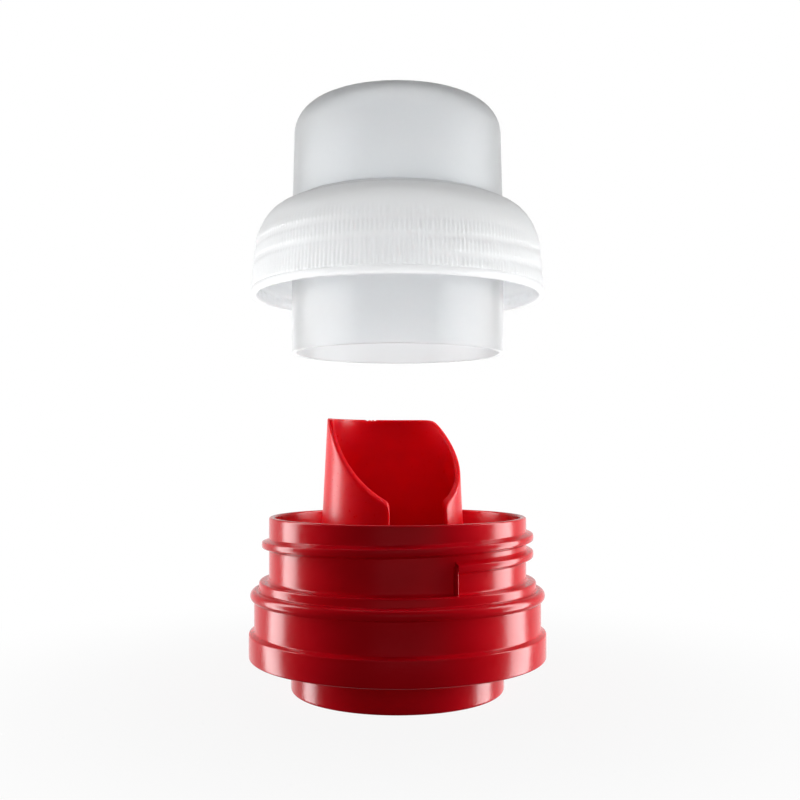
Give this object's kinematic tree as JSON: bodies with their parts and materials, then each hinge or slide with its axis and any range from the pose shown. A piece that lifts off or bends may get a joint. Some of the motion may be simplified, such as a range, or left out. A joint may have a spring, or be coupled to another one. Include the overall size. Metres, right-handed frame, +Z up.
{
  "type": "bottle pour spout with dosing cap",
  "caption": "Drain-back pour fitment for a bottle neck, with a cut-open pour tongue in a drip well, and a screw-on dosing cap with a hanging measuring cup.",
  "frame": {"origin": "centre of the plug's bottom edge, where the fitment stands", "axes": "+Z up along the shared axis of fitment and cap; the tongue's open side faces 67 degrees from +X towards -Y"},
  "size_m": [0.062, 0.062, 0.1217],
  "materials": {
    "fitment_red": "glossy injection-moulded polypropylene",
    "cap_milky": "translucent milky polypropylene, satin to gloss"
  },
  "bodies": {
    "fitment": {"neck_collar": "fitment_red", "neck_thread": "fitment_red", "thread_stop": "fitment_red", "shoulder_bead": "fitment_red", "outer_skirt": "fitment_red", "snap_ribs": "fitment_red", "drain_well": "fitment_red", "drain_floor": "fitment_red", "pour_tongue": "fitment_red", "plug_seal": "fitment_red"},
    "cup": {"measuring_cup": "cap_milky"},
    "cap": {"cap_skirt": "cap_milky", "cap_thread": "cap_milky", "grip_ribs": "cap_milky", "lock_teeth": "cap_milky"}
  },
  "joints": [
    {"name": "cap_lift", "type": "slide", "parent": "fitment", "child": "cup", "axis": [0, 0, 1], "range_m": [-0.0595, 0]},
    {"name": "cap_turn", "type": "hinge", "parent": "cup", "child": "cap", "pos_m": [0, 0, 0.086], "axis": [0, 0, 1], "range_deg": [-360, 0]}
  ]
}
